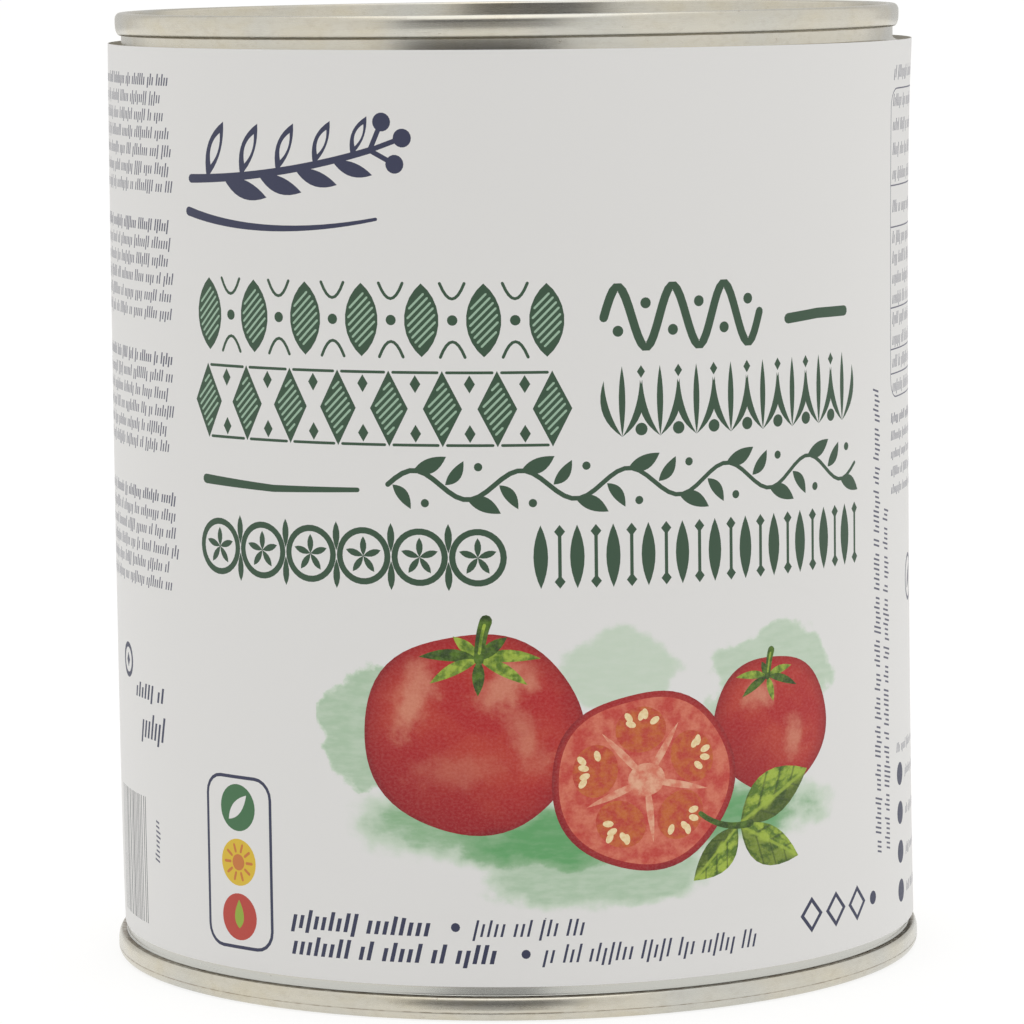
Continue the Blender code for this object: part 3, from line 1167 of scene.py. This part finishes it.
class Sheet:
    """A thin closed sheet, cut where its inks meet, and bent round the tin."""

    def __init__(self, name, base_ink, domain, columns, rows, rim_blends=False):
        self.name = name
        self.rim_blends = rim_blends
        self.shapes = [(base_ink, domain)]
        self.columns, self.rows = columns, rows

    def cut(self, shapes):
        """The flat sheet as places, triangles and the ink of each, cut by the shapes and the grid."""
        places, faces, edges = [], [], []
        for _, outline in shapes:
            start = len(places)
            places += [Vector(point) for point in ccw(outline)]
            faces.append(list(range(start, len(places))))
        us, vs = zip(*shapes[0][1])
        lines = [((u, min(vs)), (u, max(vs))) for u in self.columns]
        lines += [((min(us), v), (max(us), v)) for v in self.rows]
        for line in lines:
            edges.append((len(places), len(places) + 1))
            places += [Vector(end) for end in line]
        found, _, triangles, _, _, came_from = delaunay_2d_cdt(places, edges, faces, 0, 1e-4)
        kept = [(face, shapes[max(under)][0]) for face, under in zip(triangles, came_from) if 0 in under]
        used = sorted({corner for face, _ in kept for corner in face})
        number = {corner: index for index, corner in enumerate(used)}
        flat = [(found[corner].x, found[corner].y) for corner in used]
        faces = [tuple(number[corner] for corner in face) for face, _ in kept]
        return flat, faces, [name for _, name in kept]

    def build(self, materials, lift, thickness, bake_spot):
        flat, faces, inks = self.cut(self.shapes)
        back_flat, back_faces, _ = self.cut(self.shapes[:1])
        start = len(flat)
        outer = [wrapped(u, v, lift) for u, v in flat]
        inner = [wrapped(u, v, lift - thickness) for u, v in back_flat]
        behind = {(round(u, 3), round(v, 3)): start + index for index, (u, v) in enumerate(back_flat)}
        sides = {edge for a, b, c in faces for edge in ((a, b), (b, c), (c, a))}
        rim = [(a, b) for a, b in sides if (b, a) not in sides]
        below = {a: behind[round(flat[a][0], 3), round(flat[a][1], 3)] for edge in rim for a in edge}
        under = [(a + start, c + start, b + start) for a, b, c in back_faces]
        walls = [(b, a, below[a], below[b]) for a, b in rim]
        names = list(dict.fromkeys([self.shapes[0][0]] + inks))  # the edge and the back take the first
        mesh = bpy.data.meshes.new(self.name)
        mesh.from_pydata([place for place, _ in outer + inner], [], faces + under + walls)
        for name in names:
            mesh.materials.append(materials[name])
        for polygon, name in zip(mesh.polygons, inks):
            polygon.material_index = names.index(name)
        self.add_maps(mesh, flat + back_flat, len(faces), bake_spot)
        self.add_normals(mesh, [normal for _, normal in outer + inner], len(faces), len(under))
        return linked(self.name, mesh)

    def add_maps(self, mesh, flat, outer_faces, bake_spot):
        """The flat print's own map in millimetres, and the map that the finish is baked on."""
        printed = mesh.uv_layers.new(name="Print")
        baked = mesh.uv_layers.new(name="OFBake")
        for polygon in mesh.polygons:
            middle = sum(flat[v][0] for v in polygon.vertices) / len(polygon.vertices)
            for loop in polygon.loop_indices:
                spot = flat[mesh.loops[loop].vertex_index]
                printed.data[loop].uv = spot
                baked.data[loop].uv = bake_spot(spot, middle, polygon.index < outer_faces)

    def add_normals(self, mesh, outward, outer_faces, under_faces):
        """Smooth normals of the bent paper itself, so that the cuts between inks don't show."""
        normals = [Vector((0.0, 0.0, 0.0))] * len(mesh.loops)
        for polygon in mesh.polygons:
            rim = polygon.index >= outer_faces + under_faces
            if rim and not self.rim_blends:
                continue
            way = 1.0 if rim or polygon.index < outer_faces else -1.0
            for loop in polygon.loop_indices:
                normals[loop] = outward[mesh.loops[loop].vertex_index] * way
        mesh.shade_smooth()
        mesh.normals_split_custom_set(normals)


def label_spot(spot, middle, outer):
    """The outer face unrolls in two rows, and the back of the paper gets two narrow strips."""
    low, high = (-HALF_TURN, 0.0) if middle < 0.0 else (0.0, HALF_TURN + LAP)
    across = 0.005 + 0.99 * (spot[0] - low) / (high - low)
    up = (spot[1] - LABEL_BOTTOM) / (LABEL_TOP - LABEL_BOTTOM)
    row = 0.0 if middle < 0.0 else 1.0
    if outer:
        return (across, 0.005 + 0.45 * row + 0.44 * up)
    return (across, 0.905 + 0.045 * row + 0.04 * up)


def picture_spot(spot, middle, outer):
    """The picture fills the map, and its back a strip at the top."""
    across = 0.5 + (spot[0] - PICTURE_MIDDLE[0]) / (2.1 * PICTURE_HALF[0])
    up = 0.5 + (spot[1] - PICTURE_MIDDLE[1]) / (2.1 * PICTURE_HALF[1])
    return (across, 0.95 * up) if outer else (across, 0.955 + 0.04 * up)


def label():
    """The paper with its flat print, and the picture as a skin on it."""
    columns = grid_lines(-HALF_TURN, HALF_TURN, GRID_COLUMNS)
    rows = grid_lines(LABEL_BOTTOM, LABEL_TOP, GRID_ROWS)
    lap_columns = grid_lines(HALF_TURN, HALF_TURN + LAP, 4)[1:]
    domain = box(-HALF_TURN, LABEL_BOTTOM, HALF_TURN + LAP, LABEL_TOP)
    sheet = Sheet("label_paper", "paper", domain, columns + lap_columns, rows[1:-1])
    for part in (front_print, left_print, right_print):
        sheet.shapes += part()
    paper = sheet.build({name: ink(name) for name in INKS}, 0.0, PAPER, label_spot)
    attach(paper, "root")
    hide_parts("label")

    left, right = PICTURE_MIDDLE[0] - PICTURE_HALF[0], PICTURE_MIDDLE[0] + PICTURE_HALF[0]
    bottom, top = PICTURE_MIDDLE[1] - PICTURE_HALF[1], PICTURE_MIDDLE[1] + PICTURE_HALF[1]
    columns = [u for u in columns if left < u < right]
    rows = [v for v in rows if bottom < v < top]
    domain = box(left, bottom, right, top, PICTURE_CORNER, 12)
    skin = Sheet("label_picture", "wash", domain, columns, rows, True)
    skin.shapes += picture()
    art = skin.build(paints(), PICTURE_LIFT, 2 * PICTURE_LIFT, picture_spot)
    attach(art, "root")


# Studio

CAMERA_DISTANCE = 0.6529
CAMERA_SIDE = -0.0001
CAMERA_HEIGHT = 0.1291
CAMERA_PITCH = 6.509
CAMERA_ROLL = -0.726
FOCAL_PIXELS = 5207.7
FRAME_PIXELS = 1024
SENSOR = 36.0
FLOOR_SIZE = 40.0
FLOOR_DROP = 0.0001  # keeps the floor clear of the base seam
DARK_BEHIND = 1.45  # from the tin to the dark side
DARK_TURNS = (-31.0, 15.0)  # degrees from the camera's direction, to the left and to the right
DARK_TOP = 1.25
DARK_TONE = 0.13
REAR_CARD = (2.4, 1.6)
REAR_PLACE = (0.0, 1.2, 0.8)
REAR_GLOW = 0.68
NEAR_CARD = (0.022, 0.043)
NEAR_PLACE = (-0.0057, -0.0785, 0.0)
NEAR_GLOW = 0.37


def camera():
    data = bpy.data.cameras.new("camera")
    data.sensor_width = SENSOR
    data.lens = FOCAL_PIXELS / FRAME_PIXELS * SENSOR
    data.clip_start = 0.05
    data.clip_end = 50.0
    eye = linked("camera", data)
    tilt = Matrix.Rotation(math.radians(90.0 - CAMERA_PITCH), 4, "X")
    roll = Matrix.Rotation(math.radians(CAMERA_ROLL), 4, "Z")
    place = Matrix.Translation((CAMERA_SIDE, -CAMERA_DISTANCE, CAMERA_HEIGHT))
    eye.matrix_world = place @ tilt @ roll
    bpy.context.scene.camera = eye


def plane(name, size, material):
    mesh = bpy.data.meshes.new(name)
    x, y = size[0] / 2, size[1] / 2
    mesh.from_pydata([(-x, -y, 0.0), (x, -y, 0.0), (x, y, 0.0), (-x, y, 0.0)], [], [(0, 1, 2, 3)])
    mesh.materials.append(material)
    piece = linked(name, mesh)
    piece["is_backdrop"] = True
    return piece


def floor():
    """A pale floor that is almost white in the light of the tent."""
    tree = Tree("floor")
    tree.set(Base_Color=(0.22, 0.22, 0.22, 1.0), Roughness=0.6, Specular_IOR_Level=0.0)
    tree.set(Emission_Color=(1.0, 0.998, 0.99, 1.0), Emission_Strength=0.8)
    ground = plane("floor", (FLOOR_SIZE, FLOOR_SIZE), tree.material)
    ground.location.z = -FLOOR_DROP


def card(name, size, place, turn, tone, glow=0.0):
    """A card that stands or lies out of the camera's view, seen in the steel."""
    tree = Tree(name)
    tree.set(Base_Color=(tone, tone, tone * 1.05, 1.0), Roughness=1.0)
    tree.set(Emission_Color=(1.0, 1.0, 1.0, 1.0), Emission_Strength=glow)
    piece = plane(name, size, tree.material)
    piece.matrix_world = Matrix.Translation(place) @ Matrix.Rotation(math.radians(turn), 4, "X")
    piece.visible_camera = False
    return piece


def cards():
    """The dark side behind the camera, and two grey cards that only the steel shows: a rear one for the
    steel's outlines, and one on the floor before the base seam."""
    left, right = (DARK_BEHIND * math.tan(math.radians(turn)) for turn in DARK_TURNS)
    dark_place = ((left + right) / 2, -DARK_BEHIND, DARK_TOP / 2)
    card("dark_side", (right - left, DARK_TOP), dark_place, 90.0, DARK_TONE)
    rear = card("rear_card", REAR_CARD, REAR_PLACE, 90.0, 0.0, REAR_GLOW)
    near = card("near_card", NEAR_CARD, NEAR_PLACE, 0.0, 0.0, NEAR_GLOW)
    for piece in (rear, near):
        piece.visible_diffuse = False
        piece.visible_shadow = False


def area_light(name, place, target, size, power):
    data = bpy.data.lights.new(name, "AREA")
    data.shape = "RECTANGLE"
    data.size, data.size_y = size
    data.energy = power
    lamp = linked(name, data)
    lamp.location = place
    lamp.rotation_euler = (Vector(target) - Vector(place)).to_track_quat("-Z", "Y").to_euler()
    lamp.visible_camera = False
    return lamp


def tent():
    """Even white light from all round."""
    world = bpy.data.worlds.new("tent")
    bpy.context.scene.world = world
    world.use_nodes = True
    back = world.node_tree.nodes["Background"]
    back.inputs["Color"].default_value = (1.0, 0.995, 0.985, 1.0)
    back.inputs["Strength"].default_value = 0.97


def studio():
    camera()
    floor()
    cards()
    tent()
    area_light("ceiling", (0.0, -0.1, 1.3), (0.0, 0.0, 0.1), (1.0, 1.8), 3.6)
    front = area_light("front", (0.0, -1.2, 0.9), (0.0, 0.0, 0.06), (1.2, 0.8), 1.0)
    front.visible_glossy = False
    scene = bpy.context.scene
    scene.view_settings.view_transform = "Standard"
    scene.view_settings.look = "None"


steel()
label()
studio()

corners = {"cad": cad_box, "visual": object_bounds()}
{name: [list(corner) for corner in pair] for name, pair in corners.items()}
